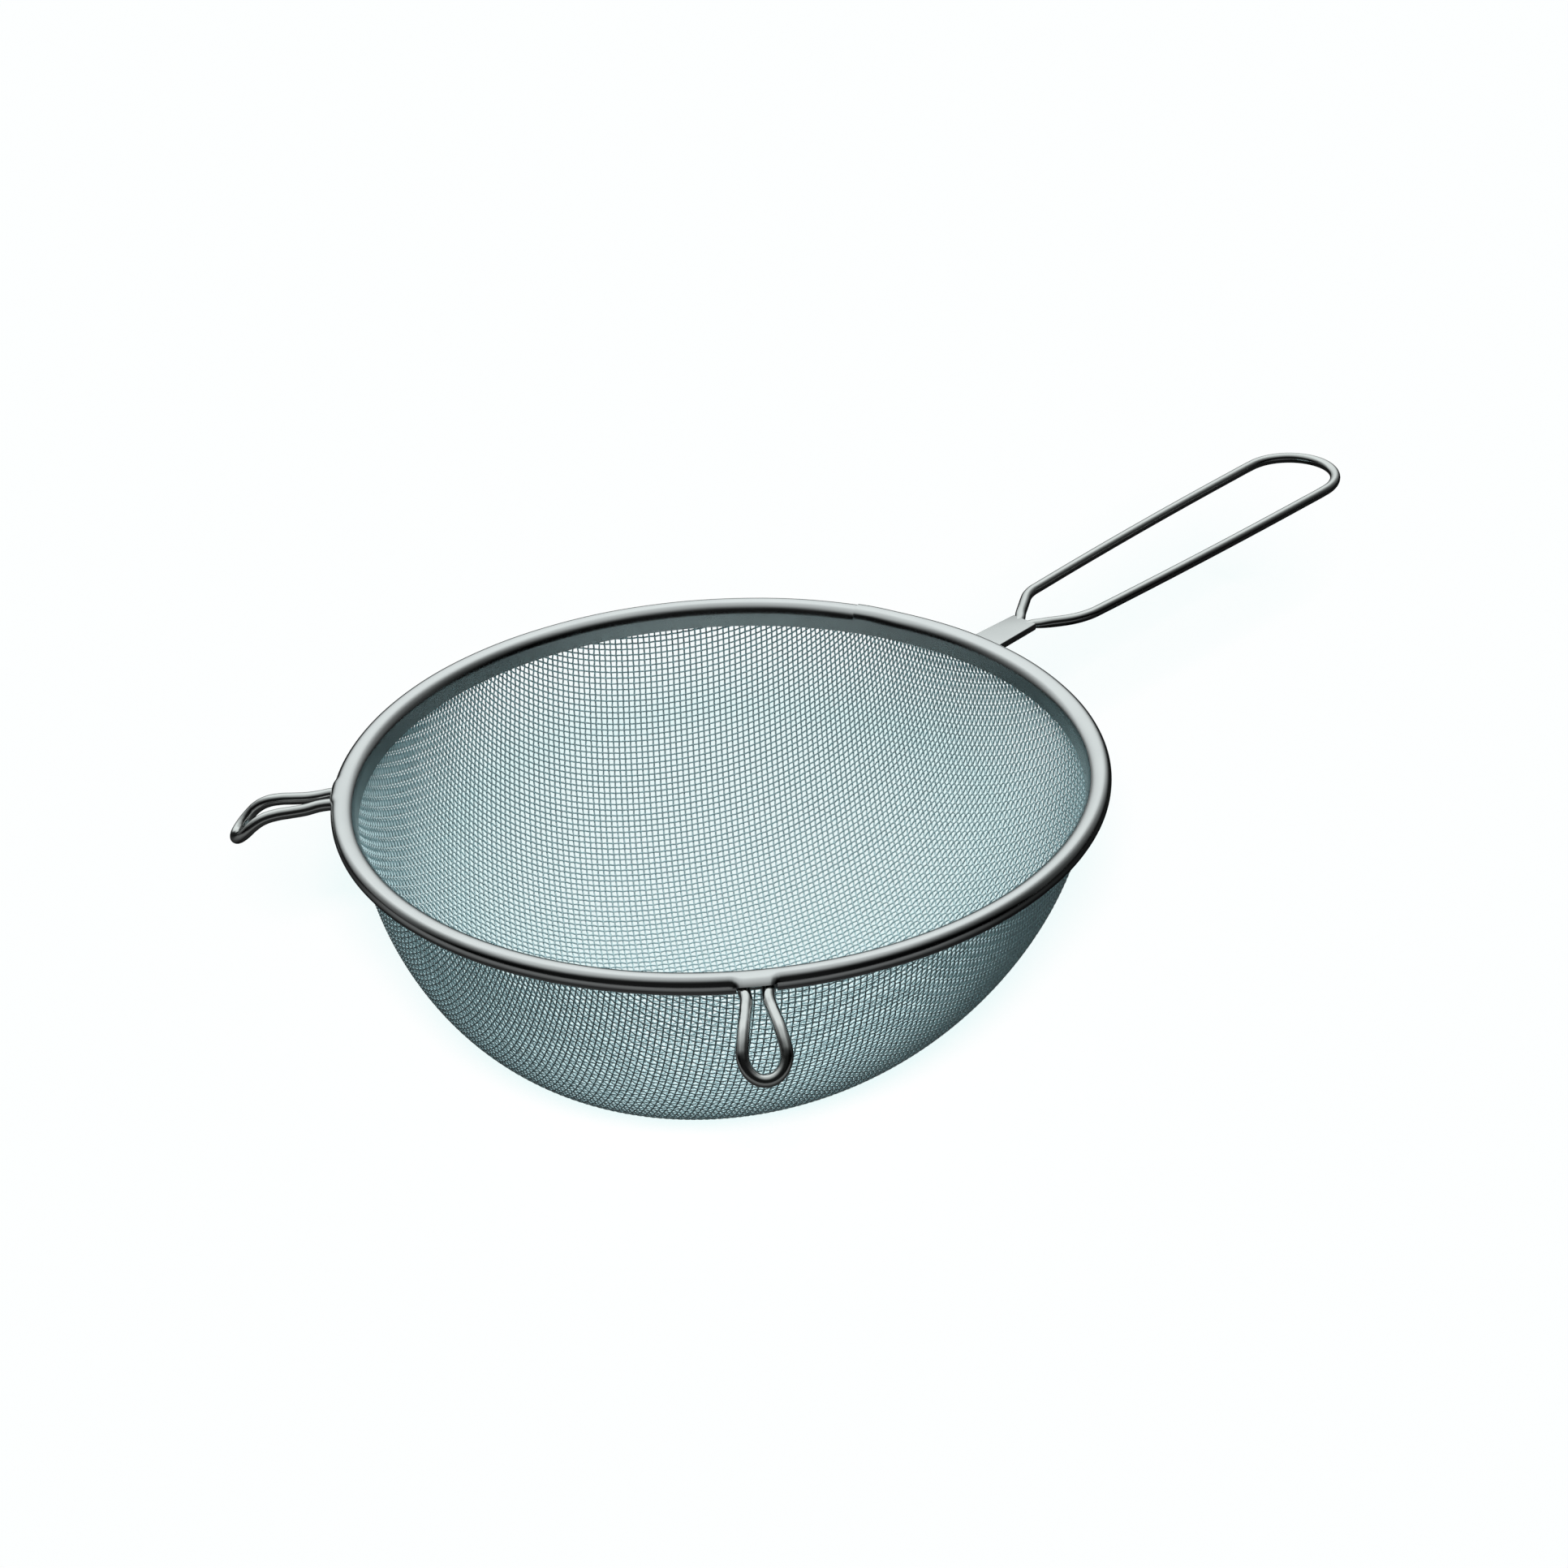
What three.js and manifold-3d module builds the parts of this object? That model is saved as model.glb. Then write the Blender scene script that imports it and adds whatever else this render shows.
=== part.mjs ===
import * as THREE from "three";
import { mergeVertices } from "three/addons/utils/BufferGeometryUtils.js";
import Module from "manifold-3d";

// Kitchen sieve: a bowl of wire cloth in a rolled rim, with a wire handle and two wire rest hooks.
// Millimetres, +Z up, +X along the handle, origin at the middle of the flat base.

// Rim: a strip rolled round a core wire into a bead, with two legs that grip the cloth.
const RIM_DIAMETER = 240;
const BEAD_DIAMETER = 6.3;
const SHEET = 0.5;
const CORE_CLEARANCE = 0.35;
const LEG_LEAN = 23;
const LEG_DROP = 5.3;
const OUTER_LEG_RISE = 0.5;
const FOLD_RADIUS = 0.8;
const SEAM_ANGLE = 23.3;
const SEAM_WIDTH = 0.4;

// Wire cloth: two wires thick, shown as a coarse net of bars that follow its weave.
const CLOTH_WIRE = 0.5;
const CLOTH_CLEARANCE = 0.35;
const CLOTH_GRIP = 3;
const CLOTH_RUN = 1.5;
const NET_PITCH = 14;
const NET_BAR = 2.2;
const WEAVE_TURN = -33;

// Bowl, measured from the middle of the bead to the underside of the base.
const BOWL_DEPTH = 89.7;
const BASE_RADIUS = 13.7;
const WALL_POWER = 0.894;
const DEPTH_POWER = 1.241;
const BASE_OFFSET = 12.3;
const OFFSET_POWER = 1.37;
const BASE_FLAT = 0.2;

// Handle: a tang that leaves the bead through a notch, and a wire loop welded to its end.
const TANG_ROOT_WIDTH = 12;
const TANG_END_WIDTH = 10.4;
const TANG_THICKNESS = 2.4;
const TANG_REACH = 19;
const TANG_EDGE = 0.25;
const HANDLE_WIRE = 3.6;
const HANDLE_LENGTH = 179.6;
const HANDLE_WIDTH = 35.7;
const NECK_WIDTH = 30.4;
const NECK_SPREAD = 36;
const NECK_BEND = 11;
const END_BEND_LENGTH = 25;
const HANDLE_RISE = 1.4;
const WELD_GAP = 0.15;

// Rest hooks: teardrop loops of wire that leave the bead through notches and bend down.
const HOOK_WIRE = 3.1;
const HOOK_ROOT_SPACING = 6;
const HOOK_WAIST_SPACING = 5.2;
const HOOK_WAIST = 4;
const HOOK_WIDTH = 16;
const HOOK_LENGTH = 36;
const HOOK_STRAIGHT = 17;
const HOOK_BEND_RADIUS = 14;
const HOOK_BEND_ANGLE = 43;
const HOOK_SLOPE = 4;
const LEFT_HOOK_ANGLE = 136.4;
const FRONT_HOOK_ANGLE = -128.9;

// Notches in the bead, and the height of the roots' tops over the bead's middle.
const TANG_TOP = 0.65;
const HOOK_TOP = -0.2;
const NOTCH_SIDE_CLEARANCE = 0.8;
const NOTCH_TOP_CLEARANCE = 0.3;

// Facets round the rim, along the wires and round the wires.
const RIM_FACETS = 72;
const WIRE_SIDES = 8;

const rad = THREE.MathUtils.degToRad;
const beadRadius = BEAD_DIAMETER / 2;
const ringRadius = RIM_DIAMETER / 2 - beadRadius;
const coreRadius = beadRadius - SHEET - CORE_CLEARANCE;
const cloth = 2 * CLOTH_WIRE;
const lean = rad(LEG_LEAN);
const rimX = BASE_OFFSET;
const rimZ = BOWL_DEPTH;

const wasm = await Module();
wasm.setup();

// A closed geometry as a solid, ready for booleans.
function solid(geometry) {
  const bare = geometry.clone();
  bare.deleteAttribute("normal");
  bare.deleteAttribute("uv");
  const merged = mergeVertices(bare, 1e-4);
  return new wasm.Manifold(
    new wasm.Mesh({
      numProp: 3,
      vertProperties: new Float32Array(merged.attributes.position.array),
      triVerts: new Uint32Array(merged.index.array),
    }),
  );
}

// A solid as a geometry with flat faces.
function geometryOf(body) {
  const mesh = body.getMesh();
  const geometry = new THREE.BufferGeometry();
  geometry.setAttribute("position", new THREE.BufferAttribute(mesh.vertProperties, 3));
  geometry.setIndex(new THREE.BufferAttribute(mesh.triVerts, 1));
  const flat = geometry.toNonIndexed();
  flat.computeVertexNormals();
  return flat;
}

// Round wire along a curve, with flat ends.
function wireAlong(curve, diameter, steps) {
  const section = new THREE.Shape();
  section.absarc(0, 0, diameter / 2, 0, 2 * Math.PI);
  return new THREE.ExtrudeGeometry(section, {
    steps,
    curveSegments: WIRE_SIDES / 2,
    bevelEnabled: false,
    extrudePath: curve,
  });
}

// Box given by its corners.
function block(low, high) {
  const size = new THREE.Vector3().subVectors(high, low);
  const box = new THREE.BoxGeometry(size.x, size.y, size.z);
  box.translate((low.x + high.x) / 2, (low.y + high.y) / 2, (low.z + high.z) / 2);
  return box;
}

// Rim section. Local axes: x outwards from the bead's middle, y up.
const legStart = new THREE.Vector2(-Math.cos(lean), Math.sin(lean));
const legDown = new THREE.Vector2(-Math.sin(lean), -Math.cos(lean));
const legOut = new THREE.Vector2(Math.cos(lean), -Math.sin(lean));
const stripRadius = beadRadius - SHEET / 2;
const legLength = (LEG_DROP + beadRadius * Math.sin(lean)) / Math.cos(lean);
const gripGap = SHEET + 2 * CLOTH_CLEARANCE + cloth;

// Point at a distance down the inner leg and outwards from its inner face.
function legPoint(down, out) {
  return legStart
    .clone()
    .multiplyScalar(beadRadius)
    .addScaledVector(legDown, down)
    .addScaledVector(legOut, out);
}

// Middle line of the strip: up the inner leg, round the bead, a fold, and down the outer leg.
function stripLine() {
  const points = [];
  points.push(legPoint(legLength, SHEET / 2));
  const turnFrom = Math.PI - lean;
  const chord = stripRadius - gripGap;
  const foldCentre = chord - FOLD_RADIUS;
  const turnBy = 2 * Math.PI - Math.acos(foldCentre / (stripRadius + FOLD_RADIUS));
  const arcSteps = 10;
  for (let i = 0; i <= arcSteps; i++) {
    const angle = turnFrom - (turnBy * i) / arcSteps;
    points.push(new THREE.Vector2(Math.cos(angle), Math.sin(angle)).multiplyScalar(stripRadius));
  }
  const last = turnFrom - turnBy;
  const centre = new THREE.Vector2(Math.cos(last), Math.sin(last));
  centre.multiplyScalar(stripRadius + FOLD_RADIUS);
  const foldTo = Math.PI - lean;
  const foldFrom = last + Math.PI;
  const foldTurn = THREE.MathUtils.euclideanModulo(foldTo - foldFrom, 2 * Math.PI);
  const foldSteps = 3;
  for (let i = 1; i <= foldSteps; i++) {
    const angle = foldFrom + (foldTurn * i) / foldSteps;
    points.push(
      new THREE.Vector2(Math.cos(angle), Math.sin(angle)).multiplyScalar(FOLD_RADIUS).add(centre),
    );
  }
  points.push(legPoint(legLength - OUTER_LEG_RISE, SHEET / 2 + gripGap));
  return points;
}

// Strip of sheet about a middle line, as a closed outline.
function stripOutline(line) {
  const left = [];
  const right = [];
  line.forEach((point, i) => {
    const before = line[Math.max(i - 1, 0)];
    const after = line[Math.min(i + 1, line.length - 1)];
    const into = point.clone().sub(before).normalize();
    const out = after.clone().sub(point).normalize();
    const along = into.clone().add(out).normalize();
    const half = SHEET / 2 / Math.max(along.dot(out.lengthSq() > 0 ? out : into), 0.5);
    const side = new THREE.Vector2(along.y, -along.x).multiplyScalar(half);
    left.push(point.clone().add(side));
    right.unshift(point.clone().sub(side));
  });
  return [...left, ...right];
}

// Section outline turned about the rim's axis.
function turned(outline) {
  const profile = outline.map((p) => new THREE.Vector2(ringRadius + p.x, p.y));
  profile.push(profile[0].clone());
  const ring = new THREE.LatheGeometry(profile, RIM_FACETS);
  ring.rotateX(Math.PI / 2);
  return ring;
}

// Cutter for a root that leaves the bead: bounded by the cloth's middle and open below.
function notch(width, rootTop, angle) {
  const half = width / 2 + NOTCH_SIDE_CLEARANCE;
  const top = rootTop + NOTCH_TOP_CLEARANCE;
  const rim = new THREE.Vector2(beadRadius, top).sub(legStart.clone().multiplyScalar(beadRadius));
  const cutter = block(
    new THREE.Vector3(SHEET + CLOTH_CLEARANCE + cloth / 2, -half, -3 * BEAD_DIAMETER),
    new THREE.Vector3(3 * BEAD_DIAMETER, half, -rim.dot(legDown)),
  );
  cutter.rotateY(lean);
  const corner = legPoint(0, 0);
  cutter.translate(ringRadius + corner.x, 0, corner.y);
  cutter.rotateZ(rad(angle));
  return cutter;
}

function rimBand() {
  let band = solid(turned(stripOutline(stripLine())));
  const hookRoot = HOOK_ROOT_SPACING + HOOK_WIRE;
  const seam = block(
    new THREE.Vector3(ringRadius - 3 * BEAD_DIAMETER, -SEAM_WIDTH / 2, -3 * BEAD_DIAMETER),
    new THREE.Vector3(ringRadius + 3 * BEAD_DIAMETER, SEAM_WIDTH / 2, 3 * BEAD_DIAMETER),
  );
  seam.rotateZ(rad(SEAM_ANGLE));
  const cutters = [
    notch(TANG_ROOT_WIDTH, TANG_TOP, 0),
    notch(hookRoot, HOOK_TOP, LEFT_HOOK_ANGLE),
    notch(hookRoot, HOOK_TOP, FRONT_HOOK_ANGLE),
    seam,
  ];
  for (const cutter of cutters) {
    band = band.subtract(solid(cutter));
  }
  return geometryOf(band);
}

// Meridian of the cloth, from the middle of the base outwards and up into the grip of the rim.
const clothTop = legPoint(legLength + CLOTH_RUN, SHEET + CLOTH_CLEARANCE + cloth / 2);
const hemZ = rimZ + clothTop.y + (CLOTH_RUN + CLOTH_GRIP) * Math.cos(lean);
function meridian() {
  const top = rimZ + clothTop.y;
  const topRadius = ringRadius + clothTop.x;
  const base = cloth / 2;
  const points = [{ r: 0, z: base, x: 0 }];
  const steps = 160;
  for (let i = 0; i <= steps; i++) {
    const angle = (Math.PI / 2) * (1 - i / steps);
    const sunk = Math.pow(Math.sin(angle), DEPTH_POWER);
    points.push({
      r: BASE_RADIUS + (topRadius - BASE_RADIUS) * Math.pow(Math.max(Math.cos(angle), 0), WALL_POWER),
      z: top - (top - base) * sunk,
      x: BASE_OFFSET * (1 - Math.pow(sunk, OFFSET_POWER)),
    });
  }
  const beyond = 8 * NET_PITCH;
  points.push({
    r: topRadius + beyond * Math.sin(lean),
    z: top + beyond * Math.cos(lean),
    x: BASE_OFFSET,
  });
  let length = 0;
  points.forEach((p, i) => {
    if (i > 0) {
      length += Math.hypot(p.r - points[i - 1].r, p.z - points[i - 1].z);
    }
    p.s = length;
  });
  return points;
}
const clothLine = meridian();
const reach = clothLine[clothLine.length - 1].s;

// Point of the cloth's middle surface for flat cloth coordinates.
function clothPoint(u, v) {
  const s = Math.min(Math.hypot(u, v), reach);
  let low = 0;
  let high = clothLine.length - 1;
  while (high - low > 1) {
    const middle = (low + high) >> 1;
    if (clothLine[middle].s <= s) low = middle;
    else high = middle;
  }
  const a = clothLine[low];
  const b = clothLine[high];
  const t = (s - a.s) / (b.s - a.s);
  const r = a.r + (b.r - a.r) * t;
  const angle = Math.atan2(v, u);
  return new THREE.Vector3(
    a.x + (b.x - a.x) * t + r * Math.cos(angle),
    r * Math.sin(angle),
    a.z + (b.z - a.z) * t,
  );
}

// Normal of the cloth, towards the inside of the bowl.
function clothNormal(u, v) {
  const step = 0.5;
  const along = clothPoint(u + step, v).sub(clothPoint(u - step, v));
  const across = clothPoint(u, v + step).sub(clothPoint(u, v - step));
  return along.cross(across).normalize();
}

// Crossing that lies one pitch from each of two neighbours, found from a first guess.
function crossing(guess, a, b) {
  let [u, v] = guess;
  const gap = (x, y) => {
    const p = clothPoint(x, y);
    return [p.distanceTo(a) - NET_PITCH, p.distanceTo(b) - NET_PITCH];
  };
  for (let i = 0; i < 12; i++) {
    const [f, g] = gap(u, v);
    const h = 0.01;
    const [fu, gu] = gap(u + h, v);
    const [fv, gv] = gap(u, v + h);
    const m = [(fu - f) / h, (fv - f) / h, (gu - g) / h, (gv - g) / h];
    const det = m[0] * m[3] - m[1] * m[2];
    if (Math.abs(det) < 1e-3) break;
    const limit = NET_PITCH / 2;
    u -= THREE.MathUtils.clamp((f * m[3] - g * m[1]) / det, -limit, limit);
    v -= THREE.MathUtils.clamp((g * m[0] - f * m[2]) / det, -limit, limit);
  }
  return [u, v];
}

// Net of the cloth: bars of one pitch between crossings, so that cells shear as pressed cloth does.
function drapedNet() {
  const hemReach = clothLine[clothLine.length - 2].s + CLOTH_RUN + CLOTH_GRIP;
  const count = Math.ceil(hemReach / NET_PITCH) + 2;
  const turn = rad(WEAVE_TURN);
  const nodes = new Map();
  const key = (i, j) => i + "," + j;
  const put = (i, j, flat) => {
    nodes.set(key(i, j), {
      flat,
      point: clothPoint(flat[0], flat[1]),
      inside: Math.hypot(flat[0], flat[1]) < hemReach,
    });
  };
  put(0, 0, [0, 0]);
  for (const [di, dj, angle] of [
    [1, 0, turn],
    [0, 1, turn + Math.PI / 2],
    [-1, 0, turn + Math.PI],
    [0, -1, turn - Math.PI / 2],
  ]) {
    let s = 0;
    for (let k = 1; k <= count; k++) {
      const last = nodes.get(key(di * (k - 1), dj * (k - 1))).point;
      const at = (d) => [d * Math.cos(angle), d * Math.sin(angle)];
      let far = s + NET_PITCH;
      for (let i = 0; i < 8; i++) {
        far += NET_PITCH - clothPoint(...at(far)).distanceTo(last);
      }
      s = far;
      put(di * k, dj * k, at(s));
    }
  }
  for (const si of [1, -1]) {
    for (const sj of [1, -1]) {
      for (let ring = 2; ring <= 2 * count; ring++) {
        for (let k = 1; k < ring; k++) {
          const i = si * k;
          const j = sj * (ring - k);
          const a = nodes.get(key(i - si, j));
          const b = nodes.get(key(i, j - sj));
          const c = nodes.get(key(i - si, j - sj));
          if (!a || !b || !c) continue;
          if (!a.inside && !b.inside && !c.inside) continue;
          const guess = [0, 1].map((n) => a.flat[n] + b.flat[n] - c.flat[n]);
          put(i, j, crossing(guess, a.point, b.point));
        }
      }
    }
  }
  return { nodes, key, count };
}

// Ridges of a bar over and under a point of the cloth.
function ridges(flat) {
  const point = clothPoint(...flat);
  const lift = clothNormal(...flat).multiplyScalar(cloth / 2);
  return { upper: point.clone().add(lift), lower: point.sub(lift) };
}

// Bars with a four-sided section: ridges inside and outside on the wire lines, edges round each gap.
// Bars that enter the rim are stepped, so that they bend with the cloth there.
function netGeometry() {
  const { nodes, key, count } = drapedNet();
  const positions = [];
  const edges = new Map();
  const quad = (a, b, c, d) => {
    for (const p of [a, b, c, a, c, d]) positions.push(p.x, p.y, p.z);
  };
  const between = (a, b, t) => [a[0] + (b[0] - a[0]) * t, a[1] + (b[1] - a[1]) * t];
  const bendStart = clothLine[clothLine.length - 2].s - CLOTH_GRIP / 2;
  const stepsOf = (a, b) => (Math.max(Math.hypot(...a), Math.hypot(...b)) > bendStart ? 3 : 1);
  for (let i = -count; i < count; i++) {
    for (let j = -count; j < count; j++) {
      const names = [key(i, j), key(i + 1, j), key(i + 1, j + 1), key(i, j + 1)];
      const ring = names.map((name) => nodes.get(name));
      if (ring.some((node) => !node) || !ring.some((node) => node.inside)) continue;
      const flats = ring.map((node) => node.flat);
      const first = ring[1].point.clone().sub(ring[0].point);
      const second = ring[3].point.clone().sub(ring[0].point);
      const shear = first.cross(second).length() / (NET_PITCH * NET_PITCH);
      const inset = Math.min(NET_BAR / 2 / (NET_PITCH * Math.max(shear, 0.1)), 0.36);
      const gap = [
        [inset, inset],
        [1 - inset, inset],
        [1 - inset, 1 - inset],
        [inset, 1 - inset],
      ].map(([s, t]) => between(between(flats[0], flats[1], s), between(flats[3], flats[2], s), t));
      for (let k = 0; k < 4; k++) {
        const n = (k + 1) % 4;
        const steps = stepsOf(flats[k], flats[n]);
        for (let q = 0; q < steps; q++) {
          const here = ridges(between(flats[k], flats[n], q / steps));
          const next = ridges(between(flats[k], flats[n], (q + 1) / steps));
          const gapHere = clothPoint(...between(gap[k], gap[n], q / steps));
          const gapNext = clothPoint(...between(gap[k], gap[n], (q + 1) / steps));
          quad(here.upper, next.upper, gapNext, gapHere);
          quad(next.lower, here.lower, gapHere, gapNext);
        }
        const back = names[n] + ";" + names[k];
        if (edges.has(back)) edges.delete(back);
        else edges.set(names[k] + ";" + names[n], [flats[k], flats[n], steps]);
      }
    }
  }
  for (const [a, b, steps] of edges.values()) {
    for (let q = 0; q < steps; q++) {
      const here = ridges(between(a, b, q / steps));
      const next = ridges(between(a, b, (q + 1) / steps));
      quad(here.lower, next.lower, next.upper, here.upper);
    }
  }
  const geometry = new THREE.BufferGeometry();
  geometry.setAttribute("position", new THREE.Float32BufferAttribute(positions, 3));
  return geometry;
}

function meshBowl() {
  const wide = RIM_DIAMETER + 20 * NET_PITCH;
  const above = block(
    new THREE.Vector3(-wide, -wide, hemZ),
    new THREE.Vector3(wide, wide, hemZ + 20 * NET_PITCH),
  );
  const below = block(
    new THREE.Vector3(-wide, -wide, -NET_PITCH),
    new THREE.Vector3(wide, wide, BASE_FLAT),
  );
  const bowl = solid(netGeometry()).subtract(solid(above)).subtract(solid(below));
  const bodies = bowl.decompose().sort((a, b) => b.volume() - a.volume());
  const geometry = geometryOf(bodies[0]);
  geometry.translate(0, 0, -BASE_FLAT);
  return geometry;
}

// Middle line of the handle wire in its own plane: x from the tang's end, y across.
class HandleLine extends THREE.Curve {
  constructor() {
    super();
    const half = HANDLE_WIDTH / 2 - HANDLE_WIRE / 2;
    const neck = NECK_WIDTH / 2 - HANDLE_WIRE / 2;
    const spread = rad(NECK_SPREAD);
    const start = TANG_END_WIDTH / 2 - HANDLE_WIRE / (2 * Math.cos(spread));
    const length = HANDLE_LENGTH - TANG_REACH - HANDLE_WIRE / 2;
    const bendX = (neck - start) / Math.tan(spread);
    const set = NECK_BEND * Math.tan(spread / 2);
    const side = [];
    for (let i = -2; i < 4; i++) {
      const t = i / 4;
      side.push([(bendX - set * Math.cos(spread)) * t, start + (neck - start - set * Math.sin(spread)) * t]);
    }
    for (let i = 0; i <= 6; i++) {
      const a = spread * (1 - i / 6);
      const centre = [bendX + set, neck - NECK_BEND];
      side.push([centre[0] - NECK_BEND * Math.sin(a), centre[1] + NECK_BEND * Math.cos(a)]);
    }
    const endX = length - END_BEND_LENGTH;
    for (let i = 1; i < 10; i++) {
      const t = i / 10;
      side.push([bendX + set + (endX - bendX - set) * t, neck + (half - neck) * (2 * t - t * t)]);
    }
    for (let i = 0; i < 12; i++) {
      const a = (Math.PI / 2) * (i / 12);
      side.push([endX + END_BEND_LENGTH * Math.sin(a), half * Math.cos(a)]);
    }
    const points = side.map(([x, y]) => new THREE.Vector3(x, y, 0));
    points.push(new THREE.Vector3(length, 0, 0));
    side.reverse().forEach(([x, y]) => points.push(new THREE.Vector3(x, -y, 0)));
    this.spline = new THREE.CatmullRomCurve3(points, false, "centripetal");
  }
  getPoint(t, target = new THREE.Vector3()) {
    return this.spline.getPoint(t, target);
  }
}

function handleLoop() {
  const wire = solid(wireAlong(new HandleLine(), HANDLE_WIRE, 96));
  const behind = block(
    new THREE.Vector3(-4 * HANDLE_WIRE, -HANDLE_WIDTH, -HANDLE_WIRE),
    new THREE.Vector3(WELD_GAP, HANDLE_WIDTH, HANDLE_WIRE),
  );
  return geometryOf(wire.subtract(solid(behind)));
}

// Tang: a plate with rounded long edges, root at x = 0.
function handleTang() {
  const root = TANG_ROOT_WIDTH / 2 - TANG_EDGE;
  const end = TANG_END_WIDTH / 2 - TANG_EDGE;
  const shape = new THREE.Shape();
  shape.moveTo(TANG_EDGE, -root);
  shape.lineTo(tangLength - TANG_EDGE, -end);
  shape.lineTo(tangLength - TANG_EDGE, end);
  shape.lineTo(TANG_EDGE, root);
  const plate = new THREE.ExtrudeGeometry(shape, {
    depth: TANG_THICKNESS - 2 * TANG_EDGE,
    bevelSize: TANG_EDGE,
    bevelThickness: TANG_EDGE,
    bevelSegments: 2,
  });
  plate.translate(0, 0, TANG_EDGE - TANG_THICKNESS / 2);
  return plate;
}
const rootRadius = ringRadius + coreRadius + WELD_GAP;
const tangLength = RIM_DIAMETER / 2 + TANG_REACH - rootRadius;

// Middle line of a hook: a teardrop laid along a straight run and a bend down.
class HookLine extends THREE.Curve {
  constructor() {
    super();
    const start = rootRadius - RIM_DIAMETER / 2;
    const end = (HOOK_WIDTH - HOOK_WIRE) / 2;
    const root = HOOK_ROOT_SPACING / 2;
    const waist = HOOK_WAIST_SPACING / 2;
    const centre = HOOK_LENGTH - HOOK_WIRE / 2 - end;
    const slope = Math.asin((end - waist) / (centre - HOOK_WAIST));
    const side = [
      [start, root],
      [start + (HOOK_WAIST - start) / 2, root + (waist - root) / 2],
      [HOOK_WAIST, waist],
    ];
    for (let i = 1; i <= 4; i++) {
      const t = i / 5;
      side.push([
        HOOK_WAIST + (centre - end * Math.sin(slope) - HOOK_WAIST) * t,
        waist + (end * Math.cos(slope) - waist) * t,
      ]);
    }
    for (let i = 0; i < 6; i++) {
      const a = -slope + (Math.PI / 2 + slope) * (i / 6);
      side.push([centre + end * Math.sin(a), end * Math.cos(a)]);
    }
    const points = side.map(([x, y]) => this.bent(x, y));
    points.push(this.bent(centre + end, 0));
    side.reverse().forEach(([x, y]) => points.push(this.bent(x, -y)));
    this.spline = new THREE.CatmullRomCurve3(points, false, "centripetal");
  }
  // Lays a flat point on the bent line of the hook.
  bent(x, y) {
    const slope = rad(HOOK_SLOPE);
    const bend = rad(HOOK_BEND_ANGLE);
    const run = Math.min(x, HOOK_STRAIGHT);
    const turn = THREE.MathUtils.clamp((x - HOOK_STRAIGHT) / HOOK_BEND_RADIUS, 0, bend);
    const rest = Math.max(x - HOOK_STRAIGHT - HOOK_BEND_RADIUS * bend, 0);
    const a = slope + turn;
    const arc = HOOK_BEND_RADIUS;
    return new THREE.Vector3(
      run * Math.cos(slope) + arc * (Math.sin(a) - Math.sin(slope)) + rest * Math.cos(a),
      y,
      -run * Math.sin(slope) - arc * (Math.cos(slope) - Math.cos(a)) - rest * Math.sin(a),
    );
  }
  getPoint(t, target = new THREE.Vector3()) {
    return this.spline.getPoint(t, target);
  }
}

function steel(color, roughness) {
  return new THREE.MeshStandardMaterial({ color, roughness, metalness: 1 });
}

function named(name, geometry, material) {
  const mesh = new THREE.Mesh(geometry, material);
  mesh.name = name;
  return mesh;
}

const sieve = new THREE.Group();
sieve.add(named("mesh_bowl", meshBowl(), steel(0x8f989b, 0.35)));

const rim = new THREE.Group();
rim.position.set(rimX, 0, rimZ - BASE_FLAT);
rim.add(named("rim_band", rimBand(), steel(0xc9cecf, 0.18)));
rim.add(
  named("core_ring", new THREE.TorusGeometry(ringRadius, coreRadius, WIRE_SIDES, RIM_FACETS), steel(0x9a9ea0, 0.4)),
);

const handle = new THREE.Group();
handle.position.set(rootRadius, 0, TANG_TOP - TANG_THICKNESS / 2);
handle.rotation.y = -rad(HANDLE_RISE);
handle.add(named("handle_tang", handleTang(), steel(0xc4caca, 0.22)));
const loop = named("handle_loop", handleLoop(), steel(0xc9cecf, 0.16));
loop.position.x = tangLength;
handle.add(loop);
rim.add(handle);

for (const [name, angle] of [
  ["hook_left", LEFT_HOOK_ANGLE],
  ["hook_front", FRONT_HOOK_ANGLE],
]) {
  const place = new THREE.Group();
  place.rotation.z = rad(angle);
  const hook = named(name, wireAlong(new HookLine(), HOOK_WIRE, 38), steel(0xc9cecf, 0.16));
  hook.position.set(RIM_DIAMETER / 2, 0, HOOK_TOP - HOOK_WIRE / 2);
  place.add(hook);
  rim.add(place);
}
sieve.add(rim);

export default sieve;
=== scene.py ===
import math

import bpy
import numpy as np
from mathutils import Matrix, Vector


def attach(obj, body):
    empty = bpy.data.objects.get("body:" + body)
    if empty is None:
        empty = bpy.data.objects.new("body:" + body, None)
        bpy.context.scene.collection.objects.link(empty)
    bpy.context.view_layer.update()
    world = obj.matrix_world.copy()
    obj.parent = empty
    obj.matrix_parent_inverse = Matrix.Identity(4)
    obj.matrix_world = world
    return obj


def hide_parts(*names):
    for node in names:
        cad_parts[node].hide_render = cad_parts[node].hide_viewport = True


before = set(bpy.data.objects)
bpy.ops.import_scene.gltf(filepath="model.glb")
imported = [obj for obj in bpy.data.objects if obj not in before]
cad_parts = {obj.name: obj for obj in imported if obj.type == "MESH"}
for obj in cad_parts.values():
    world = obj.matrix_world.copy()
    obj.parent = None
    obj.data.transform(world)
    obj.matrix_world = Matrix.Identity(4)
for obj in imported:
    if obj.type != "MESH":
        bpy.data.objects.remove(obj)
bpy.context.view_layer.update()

# Sizes in millimetres. A few differ slightly from the solids', after closer comparison.
MM = 0.001

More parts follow.
